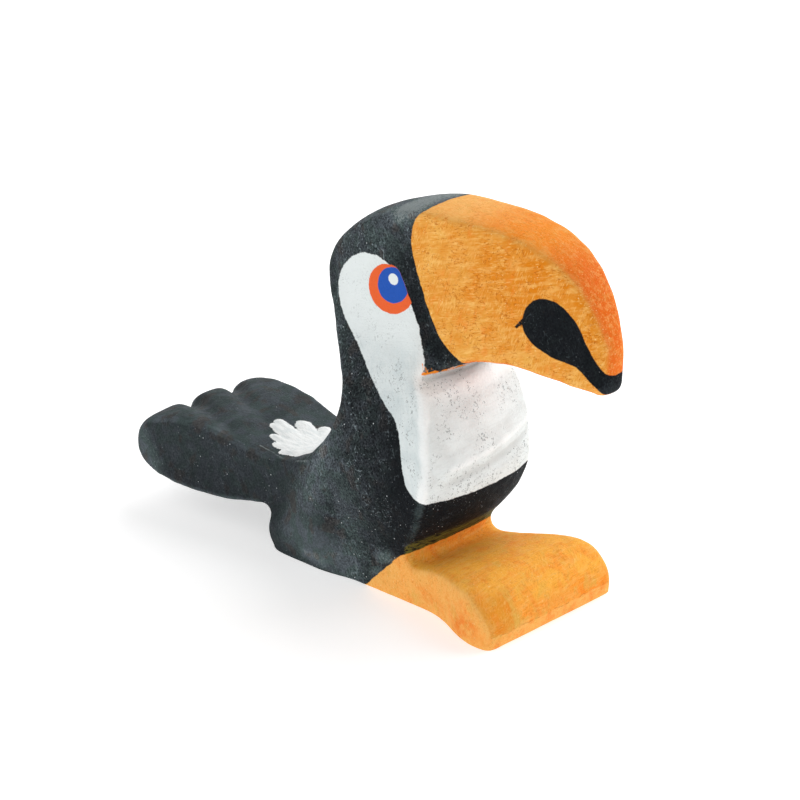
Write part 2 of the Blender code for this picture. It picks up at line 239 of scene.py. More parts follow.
# The studio: from the bird to each soft box, half the table's width and the nearest thing that
# the camera sees, in metres, the picture's width on the film in millimetres, the paint of the
# table, and from how high to how low a direction the walls take over from the ceiling.
LIGHT_DISTANCE = 0.6
TABLE_HALF = 3.0
NEAREST = 0.01
FILM_WIDTH = 36.0
WHITE = (1.0, 1.0, 1.0, 1.0)
TABLE_WHITE = (0.80, 0.80, 0.80, 1.0)
TABLE_ROUGHNESS = 0.6
WALLS_FROM = (0.95, 0.15)

# The fine copy is carved this much too long under the foot, and planed flat last of all. Points
# closer than WELD are one, what lies below FLAT_LIMIT is the flat, and PLANE is the cut's play.
SPARE_WOOD = SQUARE * 1.6
FLAT_LIMIT = SQUARE * 0.01
WELD = SQUARE * 0.002
PLANE = SQUARE * 0.0001

# Edges of the solid sharper than this stay crisp when its facets are rounded.
SHARP_ANGLE = math.radians(38.0)

# The knife cuts: how much they run into each other, the hollow's level that stays in place, and
# where they fall. Then the strength of each pass of sandpaper, and how many times the edge marks
# are evened out.
CUT_SMOOTHNESS = 0.35
CUT_MIDDLE = 0.75
CUT_SEED = 3.0
SAND_STRENGTH = 0.5
BEND_PASSES = 6

# What every colour setting shares.
COLOUR = {"subtype": "COLOR", "size": 4}


class CarvingSizes(bpy.types.PropertyGroup):
    """How finely the block is carved and sanded."""
    grain: bpy.props.FloatProperty(
        name="Grain", description="Spacing of the fine mesh", default=0.00043, min=0.0002, unit="LENGTH")
    sanding: bpy.props.IntProperty(
        name="Sanding", description="Passes of fine sandpaper over the facets", default=7, min=0)
    cut_size: bpy.props.FloatProperty(
        name="Cut size", description="Width of one knife cut", default=0.0042, unit="LENGTH")
    cut_depth: bpy.props.FloatProperty(
        name="Cut depth", description="Depth of the shallow knife cuts", default=0.00012, unit="LENGTH")
    dab_thickness: bpy.props.FloatProperty(
        name="Dab thickness", description="How proud the white dabs stand", default=0.00045, unit="LENGTH")
    eye_thickness: bpy.props.FloatProperty(
        name="Eye thickness", description="Thickness of each coat in the eye", default=0.00004, unit="LENGTH")


class PaintColours(bpy.types.PropertyGroup):
    """The colours in the painter's box."""
    black: bpy.props.FloatVectorProperty(
        name="Black", description="Ground coat", default=(0.0042, 0.0052, 0.0070, 1.0), **COLOUR)
    # The slate also paints sheen, highlights and the table's reflection on the black.
    slate: bpy.props.FloatVectorProperty(
        name="Slate", description="Thin black over the sanded ground",
        default=(0.117, 0.140, 0.158, 1.0), **COLOUR)
    slate_green: bpy.props.FloatVectorProperty(
        name="Green slate", description="Greenish patches of the slate",
        default=(0.093, 0.128, 0.127, 1.0), **COLOUR)
    slate_brown: bpy.props.FloatVectorProperty(
        name="Brown slate", description="Brownish patches of the slate",
        default=(0.105, 0.095, 0.088, 1.0), **COLOUR)
    white: bpy.props.FloatVectorProperty(
        name="White", description="Face, bib and rump", default=(0.765, 0.810, 0.805, 1.0), **COLOUR)
    # Also paints highlights on the white's ridges and light on the breast's rim.
    fresh_white: bpy.props.FloatVectorProperty(
        name="Fresh white", description="Thickest white: the breast's rim, ridges and the rump",
        default=(0.94, 0.955, 0.945, 1.0), **COLOUR)
    chalk: bpy.props.FloatVectorProperty(
        name="Chalk", description="Thin white over black", default=(0.59, 0.665, 0.675, 1.0), **COLOUR)
    gold: bpy.props.FloatVectorProperty(
        name="Gold", description="Beak sides and the front of the foot",
        default=(0.81, 0.395, 0.077, 1.0), **COLOUR)
    orange: bpy.props.FloatVectorProperty(
        name="Orange", description="Top of the beak and patches of the foot",
        default=(0.95, 0.285, 0.024, 1.0), **COLOUR)
    straw: bpy.props.FloatVectorProperty(
        name="Straw", description="Palest strokes in the orange", default=(0.92, 0.55, 0.165, 1.0), **COLOUR)
    amber: bpy.props.FloatVectorProperty(
        name="Amber", description="Deepest strokes in the orange",
        default=(0.70, 0.215, 0.008, 1.0), **COLOUR)
    vermilion: bpy.props.FloatVectorProperty(
        name="Vermilion", description="Reddest strokes and the beak's underside",
        default=(0.82, 0.14, 0.012, 1.0), **COLOUR)
    eye_red: bpy.props.FloatVectorProperty(
        name="Eye red", description="Ring round the eye", default=(0.80, 0.130, 0.035, 1.0), **COLOUR)
    eye_blue: bpy.props.FloatVectorProperty(
        name="Eye blue", description="The eye", default=(0.022, 0.095, 0.44, 1.0), **COLOUR)


class StudioSettings(bpy.types.PropertyGroup):
    """The camera and the light."""
    azimuth: bpy.props.FloatProperty(
        name="Azimuth", description="Camera's turn about the bird", default=math.radians(-46.6),
        subtype="ANGLE")
    elevation: bpy.props.FloatProperty(
        name="Elevation", description="Camera's height as an angle", default=math.radians(22.5),
        subtype="ANGLE")
    distance: bpy.props.FloatProperty(
        name="Distance", description="From the camera to what it aims at", default=0.5, unit="LENGTH")
    aim: bpy.props.FloatVectorProperty(
        name="Aim", description="The point in the middle of the picture", default=(-0.0067, -0.0095, 0.0339),
        unit="LENGTH", subtype="TRANSLATION")
    lens: bpy.props.FloatProperty(
        name="Lens", description="Focal length on a 36 mm sensor, in millimetres", default=135.0)
    sky: bpy.props.FloatProperty(
        name="Sky", description="Brightness of the white room", default=0.13)
    walls: bpy.props.FloatProperty(
        name="Walls", description="How much brighter the walls are than the ceiling", default=1.00)
    key: bpy.props.FloatProperty(
        name="Key", description="Power of the main soft box, in watts", default=3.5)
    key_size: bpy.props.FloatProperty(
        name="Key size", description="Width of the main soft box", default=0.80, unit="LENGTH")
    key_way: bpy.props.FloatVectorProperty(
        name="Key direction", description="From the bird to the main soft box", default=(0.76, -0.06, 0.65))
    fill: bpy.props.FloatProperty(
        name="Fill", description="Power of the second soft box, in watts", default=0.80)
    fill_size: bpy.props.FloatProperty(
        name="Fill size", description="Width of the second soft box", default=0.80, unit="LENGTH")
    fill_way: bpy.props.FloatVectorProperty(
        name="Fill direction", description="From the bird to the second soft box",
        default=(-0.60, 0.45, 0.65))
    floor_glow: bpy.props.FloatProperty(
        name="Floor glow", description="Light that comes up through the white table", default=0.49)


def smooth(low, high, value):
    """0 below low, 1 above high, and an S curve between."""
    share = np.clip((value - low) / (high - low), 0.0, 1.0)
    return share * share * (3.0 - 2.0 * share)


def settle(item):
    """Turns an object's modifiers into plain mesh."""
    graph = bpy.context.evaluated_depsgraph_get()
    mesh = bpy.data.meshes.new_from_object(item.evaluated_get(graph))
    item.modifiers.clear()
    item.data = mesh
    return item


def vectors_of(source, attribute):
    """The positions or normals of a mesh's vertices as an array."""
    values = np.zeros(len(source) * 3, np.float32)
    source.foreach_get(attribute, values)
    return values.reshape(-1, 3).astype(float)


def pattern_places(points):
    """Positions in metres as (side, back, up) in pattern squares."""
    return points / SQUARE + np.array([0.0, PATTERN_MIDDLE, 0.0])


def rounded(outline, steps=4):
    """A closed outline with a smooth curve through its points."""
    knots = np.array(outline)
    before, after, beyond = (np.roll(knots, shift, axis=0) for shift in (1, -1, -2))
    pieces = []
    for t in np.arange(steps) / steps:
        pieces.append(0.5 * (2.0 * knots + (after - before) * t
                             + (2.0 * before - 5.0 * knots + 4.0 * after - beyond) * t ** 2
                             + (3.0 * knots - before - 3.0 * after + beyond) * t ** 3))
    return np.stack(pieces, axis=1).reshape(-1, 2)


def inside_outline(places, outline):
    """How far each place lies inside a closed outline, in squares, and negative outside it."""
    nearest = np.full(len(places), np.inf)
    within = np.zeros(len(places), bool)
    for start, end in zip(outline, np.roll(outline, -1, axis=0)):
        along = end - start
        offset = places - start
        share = np.clip(offset @ along / (along @ along), 0.0, 1.0)
        nearest = np.minimum(nearest, ((offset - share[:, None] * along) ** 2).sum(axis=1))
        if start[1] != end[1]:
            crossing = (start[1] > places[:, 1]) != (end[1] > places[:, 1])
            within ^= crossing & (offset[:, 0] < along[0] * offset[:, 1] / along[1])
    return np.where(within, 1.0, -1.0) * np.sqrt(nearest)


def inside_ellipse(places, ellipse):
    """About how far each place lies inside a turned ellipse, in squares."""
    centre, radii, turn = ellipse
    offset = places - np.array(centre)
    turned = np.stack([offset[:, 0] * math.cos(turn) + offset[:, 1] * math.sin(turn),
                       offset[:, 1] * math.cos(turn) - offset[:, 0] * math.sin(turn)], axis=1)
    reach = np.linalg.norm(turned / np.array(radii), axis=1)
    return (1.0 - reach) * min(radii)


def inside_dab(places, start, end, start_width, end_width):
    """How far each place lies inside a brush dab that tapers from start to end, in squares."""
    start = np.array(start)
    along = np.array(end) - start
    offset = places - start
    share = np.clip(offset @ along / (along @ along), 0.0, 1.0)
    gap = np.linalg.norm(offset - share[:, None] * along, axis=1)
    return (start_width + (end_width - start_width) * share) / 2.0 - gap


def paint_marks(points):
    """Each painted area as a distance inside its edge, in squares, for every vertex."""
    places = pattern_places(points)
    side, back, up = places.T
    profile = places[:, 1:]
    marks = {
        "bib": inside_outline(profile, rounded(BIB)),
        "beak": inside_outline(profile, rounded(BEAK)),
        "foot": inside_outline(profile, rounded(FOOT)),
    }
    marks["spot"] = np.maximum(inside_outline(profile, rounded(BEAK_SPOT)),
                               inside_dab(profile, *BEAK_SPOT_FLICK))
    on_face = marks["bib"] + EYE_OVERLAP
    marks["eye_ring"] = np.minimum(inside_ellipse(profile, EYE_RING), on_face)
    marks["eye_iris"] = np.minimum(inside_ellipse(profile, EYE_IRIS), on_face)
    marks["eye_glint"] = inside_ellipse(profile, EYE_GLINT)
    rump = np.max([inside_dab(places[:, :2], *dab) for dab in RUMP_DABS], axis=0)
    on_rump = (up > RUMP_LOW_UP) & (up < RUMP_TOP_UP) & (back > RUMP_FRONT_BACK)
    marks["rump"] = np.where(on_rump, rump, OUTSIDE)
    marks["rump_line"] = np.max([inside_dab(places, start, end, *RUMP_HIGHLIGHT_WIDTHS)
                                 for start, end in zip(RUMP_HIGHLIGHT_LINE, RUMP_HIGHLIGHT_LINE[1:])], axis=0)
    for name, patches in (("slate", SLATE_AND_SHEEN_PATCHES), ("foot_rust", RUST_PATCHES)):
        marks[name] = np.max([share * np.exp(-(inside_dab(profile, start, end, 0.0, 0.0) / radius) ** 2)
                              for start, end, radius, share in patches], axis=0)
    marks["throat"] = np.max([inside_dab(profile, *hair) for hair in THROAT_HAIRS], axis=0)
    return marks


def breast_relief(points, normals):
    """The knife's flats across the breast, in squares, measured along the surface's normal."""
    side, back, up = pattern_places(points).T
    levels = up - BREAST_TILT * side
    heights = np.array([level for level, rise in BREAST_FLATS][::-1])
    rises = np.array([rise for level, rise in BREAST_FLATS][::-1])
    relief = np.interp(levels, heights, rises, left=0.0, right=0.0)
    faces_front = smooth(*BREAST_FACING, -normals[:, 1]) * smooth(*BREAST_BACK, back)
    return relief * faces_front * smooth(*BREAST_TOP, up) * smooth(*BREAST_SIDE, side)


def neighbour_mean(mesh_edges, values):
    """Each vertex's mean of its neighbours' values."""
    total = np.zeros_like(values)
    count = np.zeros(len(values))
    for here, there in (mesh_edges.T, mesh_edges.T[::-1]):
        np.add.at(total, here, values[there])
        np.add.at(count, here, 1.0)
    count = np.maximum(count, 1.0)
    return total / (count[:, None] if values.ndim > 1 else count)


def edge_marks(mesh, points, normals):
    """How sharply the surface bends at each vertex: positive on edges, negative in hollows."""
    ends = np.zeros(len(mesh.edges) * 2, np.int32)
    mesh.edges.foreach_get("vertices", ends)
    ends = ends.reshape(-1, 2)
    bend = ((points - neighbour_mean(ends, points)) * normals).sum(axis=1)
    for _ in range(BEND_PASSES):
        bend = neighbour_mean(ends, bend)
    return bend / SQUARE


def store(mesh, name, values):
    """Keeps one number for each vertex under a name that the material reads."""
    attribute = mesh.attributes.new(name, "FLOAT", "POINT")
    attribute.data.foreach_set("value", values.astype(np.float32))


def feed(tree, socket, value):
    """Links a socket to an input, or sets the input's value."""
    value = value.socket if isinstance(value, Number) else value
    if isinstance(value, bpy.types.NodeSocket):
        tree.links.new(value, socket)
    else:
        socket.default_value = value


def put(tree, kind, settings=None, **inputs):
    """Adds a node, sets its properties, and gives each input a value or another node's socket."""
    node = tree.nodes.new(kind)
    for name, value in (settings or {}).items():
        setattr(node, name, value)
    for name, value in inputs.items():
        feed(tree, node.inputs[name.replace("_", " ")], value)
    return node


def sums(tree, operation, *values):
    """One step of arithmetic on numbers."""
    node = put(tree, "ShaderNodeMath", {"operation": operation})
    for socket, value in zip(node.inputs, values):
        feed(tree, socket, value)
    return Number(tree, node.outputs[0])


def vectors(tree, operation, *values, **inputs):
    """One step of arithmetic on places and directions."""
    node = put(tree, "ShaderNodeVectorMath", {"operation": operation}, **inputs)
    for socket, value in zip(node.inputs, values):
        feed(tree, socket, value)
    return node.outputs["Value" if operation == "DOT_PRODUCT" else "Vector"]


class Number:
    """A number that a node tree works out, open to plain arithmetic."""

    def __init__(self, tree, socket):
        """Wraps a node's output."""
        self.tree = tree
        self.socket = socket

    def __add__(self, other):
        """This and another."""
        return sums(self.tree, "ADD", self, other)

    def __sub__(self, other):
        """This less another."""
        return sums(self.tree, "SUBTRACT", self, other)

    def __rsub__(self, other):
        """Another less this."""
        return sums(self.tree, "SUBTRACT", other, self)

    def __mul__(self, other):
        """This times another."""
        return sums(self.tree, "MULTIPLY", self, other)

    def __abs__(self):
        """This without its sign."""
        return sums(self.tree, "ABSOLUTE", self)

    def scaled(self, factor, more):
        """This times a factor, and more added."""
        return sums(self.tree, "MULTIPLY_ADD", self, factor, more)

    def most(self, other):
        """The larger of this and another."""
        return sums(self.tree, "MAXIMUM", self, other)

    def ramp(self, low, high, to_low=0.0, to_high=1.0):
        """A smooth step from one number to another as this goes from low to high."""
        node = put(self.tree, "ShaderNodeMapRange", {"interpolation_type": "SMOOTHSTEP"}, Value=self,
                   From_Min=low, From_Max=high, To_Min=to_low, To_Max=to_high)
        return Number(self.tree, node.outputs["Result"])


def group_input(tree, name, kind, default=None, subtype="NONE"):
    """A named input of a geometry tree. Returns the socket's identifier."""
    socket = tree.interface.new_socket(name=name, in_out="INPUT", socket_type=kind)
    if kind == "NodeSocketFloat":
        socket.default_value = default
        socket.subtype = subtype
    return socket.identifier


def knife_cut_tree():
    """A tree that scoops shallow knife cuts, side by side, out of a whole surface."""
    tree = bpy.data.node_groups.new("knife_cuts", "GeometryNodeTree")
    group_input(tree, "Surface", "NodeSocketGeometry")
    inputs = {
        "Cut Size": group_input(tree, "Cut Size", "NodeSocketFloat", 0.004, "DISTANCE"),
        "Cut Depth": group_input(tree, "Cut Depth", "NodeSocketFloat", 0.0001, "DISTANCE"),
        "Seed": group_input(tree, "Seed", "NodeSocketFloat", 0.0),
        "Finish": group_input(tree, "Finish", "NodeSocketMaterial"),
    }
    tree.interface.new_socket(name="Carved", in_out="OUTPUT", socket_type="NodeSocketGeometry")
    entry = put(tree, "NodeGroupInput").outputs
    cells = put(tree, "ShaderNodeTexVoronoi", {"voronoi_dimensions": "4D", "feature": "SMOOTH_F1"},
                Vector=put(tree, "GeometryNodeInputPosition").outputs["Position"],
                Scale=sums(tree, "DIVIDE", 1.0, entry["Cut Size"]), W=entry["Seed"],
                Smoothness=CUT_SMOOTHNESS)
    depth = (Number(tree, cells.outputs["Distance"]) - CUT_MIDDLE) * entry["Cut Depth"]
    normal = put(tree, "GeometryNodeInputNormal").outputs["Normal"]
    move = put(tree, "GeometryNodeSetPosition", Geometry=entry["Surface"],
               Offset=vectors(tree, "SCALE", normal, Scale=depth))
    whole = put(tree, "GeometryNodeRealizeInstances", Geometry=move.outputs["Geometry"])
    finish = put(tree, "GeometryNodeSetMaterial", Geometry=whole.outputs["Geometry"],
                 Material=entry["Finish"])
    put(tree, "NodeGroupOutput", Carved=finish.outputs["Geometry"])
    return tree, inputs


def fine_block(sizes):
    """A finer copy of the block: its facets sanded round and shallow knife cuts scooped out."""
    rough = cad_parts[BLOCK].data.copy()
    rough.materials.clear()
    shape = bmesh.new()
    shape.from_mesh(rough)
    bmesh.ops.remove_doubles(shape, verts=shape.verts, dist=WELD)
    creases = shape.edges.layers.float.new("crease_edge")
    for edge in shape.edges:
        edge[creases] = float(edge.calc_face_angle(0.0) > SHARP_ANGLE)
    under = [face for face in shape.faces if max(vertex.co.z for vertex in face.verts) < FLAT_LIMIT]
    grown = bmesh.ops.extrude_face_region(shape, geom=under)["geom"]
    spare = [part for part in grown if isinstance(part, bmesh.types.BMVert)]
    bmesh.ops.translate(shape, verts=spare, vec=(0.0, 0.0, -SPARE_WOOD))
    shape.to_mesh(rough)
    shape.free()
    item = bpy.data.objects.new("painted_toucan", rough)
    bpy.context.scene.collection.objects.link(item)
    rounding = item.modifiers.new("rounding", "SUBSURF")
    rounding.levels = rounding.render_levels = 1
    remesh = item.modifiers.new("grain", "REMESH")
    remesh.mode = "VOXEL"
    remesh.voxel_size = sizes.grain
    sand = item.modifiers.new("sanding", "SMOOTH")
    sand.factor = SAND_STRENGTH
    sand.iterations = sizes.sanding
    tree, inputs = knife_cut_tree()
    cuts = item.modifiers.new("knife_cuts", "NODES")
    cuts.node_group = tree
    cuts[inputs["Cut Size"]] = sizes.cut_size
    cuts[inputs["Cut Depth"]] = sizes.cut_depth
    cuts[inputs["Seed"]] = CUT_SEED
    cuts[inputs["Finish"]] = bpy.data.materials.new(PAINTED_WOOD)
    return settle(item)


def plane_underside(mesh):
    """Planes the foot flat on the floor: cuts the spare wood off and closes the cut."""
    shape = bmesh.new()
    shape.from_mesh(mesh)
    whole = shape.verts[:] + shape.edges[:] + shape.faces[:]
    bmesh.ops.bisect_plane(shape, geom=whole, dist=PLANE, plane_co=(0.0, 0.0, 0.0),
                           plane_no=(0.0, 0.0, 1.0), clear_inner=True)
    rim = [edge for edge in shape.edges if edge.is_boundary]
    under = bmesh.ops.edgeloop_fill(shape, edges=rim)["faces"]
    for face in under:
        face.normal_update()
        if face.normal.z > 0.0:
            face.normal_flip()
    bmesh.ops.triangulate(shape, faces=under)
    for face in shape.faces:
        face.smooth = True
    for edge in rim:
        edge.smooth = False
        for vertex in edge.verts:
            vertex.co.z = 0.0
    shape.to_mesh(mesh)
    shape.free()


class TOUCAN_OT_carve_block(bpy.types.Operator):
    """Carve the block finer and mark where each paint goes."""
    bl_idname = "toucan.carve_block"
    bl_label = "Carve the block"

    def execute(self, context):
        """Adds the finely carved bird in place of its plain solid."""
        sizes = context.scene.toucan_carving
        item = fine_block(sizes)
        mesh = item.data
        points = vectors_of(mesh.vertices, "co")
        normals = vectors_of(mesh.vertex_normals, "vector")
        marks = paint_marks(points)
        proud = breast_relief(points, normals) * SQUARE
        proud += sizes.dab_thickness * smooth(*DAB_EDGE, marks["rump"])
        proud += sizes.eye_thickness * sum(smooth(*EYE_EDGE, marks[coat])
                                           for coat in ("eye_ring", "eye_iris", "eye_glint"))
        points += normals * proud[:, None]
        mesh.vertices.foreach_set("co", points.astype(np.float32).ravel())
        mesh.update()
        for name, values in marks.items():
            store(mesh, name, values)
        normals = vectors_of(mesh.vertex_normals, "vector")
        store(mesh, "edge", edge_marks(mesh, points, normals))
        store(mesh, "flank", np.abs(normals[:, 0]))
        store(mesh, "underside", -normals[:, 2])
        plane_underside(mesh)
        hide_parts(BLOCK)
        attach(item, BODY)
        return {"FINISHED"}


def noise(tree, place, size, detail=2.0, roughness=0.5):
    """Cloudy noise, with patches of about the given size in millimetres."""
    node = put(tree, "ShaderNodeTexNoise", Vector=place, Scale=1.0 / size, Detail=detail, Roughness=roughness)
    return Number(tree, node.outputs["Fac"])


def shader_group(name, output, **inputs):
    """A node group that takes a place and named inputs. Returns it with its inputs and its output."""
    tree = bpy.data.node_groups.new(name, "ShaderNodeTree")
    for label, default in {"Place": (0.0, 0.0, 0.0), **inputs}.items():
        kind = "NodeSocketFloat" if isinstance(default, float) else "NodeSocketVector"
        tree.interface.new_socket(name=label, in_out="INPUT", socket_type=kind).default_value = default
    tree.interface.new_socket(name=output, in_out="OUTPUT", socket_type="NodeSocketFloat")
    return tree, put(tree, "NodeGroupInput").outputs, put(tree, "NodeGroupOutput").inputs[output]


def brush_group():
    """Streaks left by a stiff brush that runs one way: long along it and narrow across it."""
    tree, entry, leave = shader_group("brush_streaks", "Streaks", Way=(0.0, 1.0, 0.0), Length=4.0, Width=0.3)
    way = vectors(tree, "NORMALIZE", entry["Way"])
    along = Number(tree, vectors(tree, "DOT_PRODUCT", entry["Place"], way))
    across_rate = sums(tree, "DIVIDE", 1.0, entry["Width"])
    along_rate = sums(tree, "DIVIDE", 1.0, entry["Length"])
    narrow = vectors(tree, "SCALE", entry["Place"], Scale=across_rate)
    stretch = vectors(tree, "SCALE", way, Scale=along * (along_rate - across_rate))
    feed(tree, leave, noise(tree, vectors(tree, "ADD", narrow, stretch), 1.0, 2.0, 0.55))
    return tree


def hair_group():
    """Thin broken squiggles, such as open pores and hair cracks in dry paint."""
    tree, entry, leave = shader_group("hair_cracks", "Hairs", Size=0.9, Width=0.03)
    field = put(tree, "ShaderNodeTexNoise", Vector=entry["Place"],
                Scale=sums(tree, "DIVIDE", 1.0, entry["Size"]), Detail=1.5, Roughness=0.5)
    line = abs(Number(tree, field.outputs["Fac"]) - 0.5).ramp(entry["Width"], 0.0)
    broken = noise(tree, entry["Place"], 0.55, 1.0).ramp(0.50, 0.62)
    feed(tree, leave, line * broken)
    return tree


def speck_group():
    """Small round specks, such as pores and nibs, at a share of evenly spread places."""
    tree, entry, leave = shader_group("paint_specks", "Specks", Spacing=1.0, Radius=0.15, Share=0.3)
    cells = put(tree, "ShaderNodeTexVoronoi", Vector=entry["Place"],
                Scale=sums(tree, "DIVIDE", 1.0, entry["Spacing"]))
    gap = sums(tree, "MULTIPLY", cells.outputs["Distance"], entry["Spacing"])
    draw = put(tree, "ShaderNodeSeparateColor", Color=cells.outputs["Color"]).outputs
    chosen = sums(tree, "LESS_THAN", draw["Red"], entry["Share"])
    size = Number(tree, draw["Green"]).scaled(0.9, 0.45) * entry["Radius"]
    feed(tree, leave, gap.ramp(size, size * 0.45) * chosen)
    return tree


def rim_group():
    """Where a coat of paint covers: its marked distance with the hand's wobble, made a soft mask."""
    tree, entry, leave = shader_group("coat_edge", "Mask", Distance=0.0, Wobble=0.25, Softness=0.1)
    slow = noise(tree, entry["Place"], 1.6, 1.0) - 0.5
    quick = noise(tree, entry["Place"], 0.35, 2.0) - 0.5
    wander = quick.scaled(0.7, slow) * entry["Wobble"]
    low = sums(tree, "MULTIPLY", entry["Softness"], -1.0)
    feed(tree, leave, wander.scaled(2.0, entry["Distance"]).ramp(low, entry["Softness"]))
    return tree


class Paintbox:
    """The node tree of the painted wood, and what each of its coats shares."""

    def __init__(self, tree):
        """Sets up the shared place and the four node groups."""
        self.tree = tree
        self.groups = {"brush": brush_group(), "hairs": hair_group(), "specks": speck_group(),
                       "rim": rim_group()}
        place = put(tree, "ShaderNodeTexCoord").outputs["Object"]
        self.place = vectors(tree, "SCALE", place, Scale=PER_MM)
        split = put(tree, "ShaderNodeSeparateXYZ", Vector=self.place)
        self.across, self.back, self.up = (Number(tree, part) for part in split.outputs)

    def mark(self, name):
        """A number that the carving kept for each vertex."""
        node = put(self.tree, "ShaderNodeAttribute", {"attribute_type": "GEOMETRY", "attribute_name": name})
        return Number(self.tree, node.outputs["Fac"])

    def group(self, kind, **inputs):
        """One use of a node group."""
        node = put(self.tree, "ShaderNodeGroup", {"node_tree": self.groups[kind]}, Place=self.place, **inputs)
        return Number(self.tree, node.outputs[0])

    def cover(self, share, under, over):
        """Lays one colour over another by a share."""
        node = put(self.tree, "ShaderNodeMix", {"data_type": "RGBA", "clamp_factor": True})
        for index, value in ((0, share), (6, under), (7, over)):
            feed(self.tree, node.inputs[index], value)
        return node.outputs[2]

    def strokes(self, way, length, width, low, high):
        """Separate brush strokes: the parts of the streaks above a level."""
        return self.group("brush", Way=way, Length=length, Width=width).ramp(low, high)

    def noise(self, size, detail=2.0, roughness=0.5):
        """Cloudy noise over the figure."""
        return noise(self.tree, self.place, size, detail, roughness)

    def clouds(self, size, low=0.40, high=0.60, detail=2.0):
        """Soft patches of about the given size in millimetres."""
        return self.noise(size, detail).ramp(low, high)

    def coat(self, name, wobble=0.22, softness=0.10):
        """The soft mask of one painted area."""
        return self.group("rim", Distance=self.mark(name), Wobble=wobble, Softness=softness)


def black_coat(box, colours):
    """Matt black, brushed thin: slate shows in dry dashes, on worn edges and in scuffs, with painted sheen on
    the top faces and edges, painted highlights and a painted reflection in the slate patches, pale specks
    with painted glints, and painted shade under the beak.
    """
    slate = box.cover(box.clouds(2.6), colours.slate, colours.slate_green)
    slate = box.cover(box.clouds(3.4, 0.56, 0.66) * 0.7, slate, colours.slate_brown)
    heel = box.up.ramp(*HEEL_UP) * box.back.ramp(*HEEL_BACK)
    rough = 1.0 - heel.most(box.back.ramp(*TAIL_BACK))
    grain = (box.clouds(0.34, 0.36, 0.66, 3.0) - 0.45).scaled(rough.scaled(0.60, 0.40), 0.45)
    crossed = box.strokes(CROSSED_STROKE, 1.0, 0.22, 0.54, 0.68)
    levelled = box.strokes(LEVEL_STROKE, 0.9, 0.20, 0.56, 0.70)
    dashes = box.strokes(STEEP_STROKE, 1.7, 0.22, 0.52, 0.66).most(crossed.most(levelled) * 0.8)
    dashes = dashes * box.clouds(3.5, 0.34, 0.62)
    thin = box.mark("slate") * grain.scaled(0.40, dashes.scaled(0.35, 0.42))
    # Convex edges lighter: partly worn paint, partly painted sheen.
    worn_and_sheen = grain.scaled(0.004, box.mark("edge")).ramp(0.011, 0.025)
    thin = thin.most(worn_and_sheen * 0.50)
    # Less slate low on the front of the body: painted shade under the beak.
    shade = box.back.ramp(*FRONT_SIDE_BACK, 0.15, 1.0).most(box.up.ramp(*NECK_UP))
    dashes = dashes * shade
    thin = dashes.scaled(rough.scaled(0.32, 0.12), thin)
    # Top faces lighter: painted sheen on the black.
    top = box.mark("underside").ramp(-0.70, -0.96)
    thin = top.scaled(box.clouds(5.0).scaled(0.16, 0.16), thin)
    thin = (grain * shade).scaled(0.26, thin)
    off_band = box.mark("beak").ramp(-2.4, -3.6, 0.40, 1.0).most(box.up.ramp(*CROWN_UP))
    busy = box.mark("spot").ramp(0.2, -0.2, 0.45, 1.0) * off_band
    thin = thin * busy
    colour = box.cover(thin, colours.black, slate)
    # Palest where the slate patches run thickest, as on the crown: painted sheen.
    colour = box.cover(thin.ramp(0.9, 1.8), colour, HIGHLIGHT_PALE)
    scuffed = box.clouds(5.0, 0.44, 0.60) * rough.scaled(0.90, 0.10)
    scratches = box.group("hairs", Size=1.60, Width=0.038) * scuffed
    colour = box.cover(scratches * (busy * shade), colour, SCRATCH_BLUE)
    # The pale line round the splash: a painted highlight along the crease at the tail's root.
    colour = box.cover(box.coat("rump_line", 0.12, 0.12) * 0.7, colour, HIGHLIGHT_PALE)
    # Pale specks: dust and nibs of paint with painted glints on them.
    dust_and_glints = box.group("specks", Spacing=0.48, Radius=0.085, Share=rough.scaled(0.40, 0.20))
    colour = box.cover(dust_and_glints * (busy * 0.22), colour, SPECK_AND_GLINT_PALE)
    nibs_and_glints = box.group("specks", Spacing=0.95, Radius=0.11, Share=rough.scaled(0.26, 0.10))
    return box.cover(nibs_and_glints * (busy * 0.9), colour, SPECK_AND_GLINT_PALE)


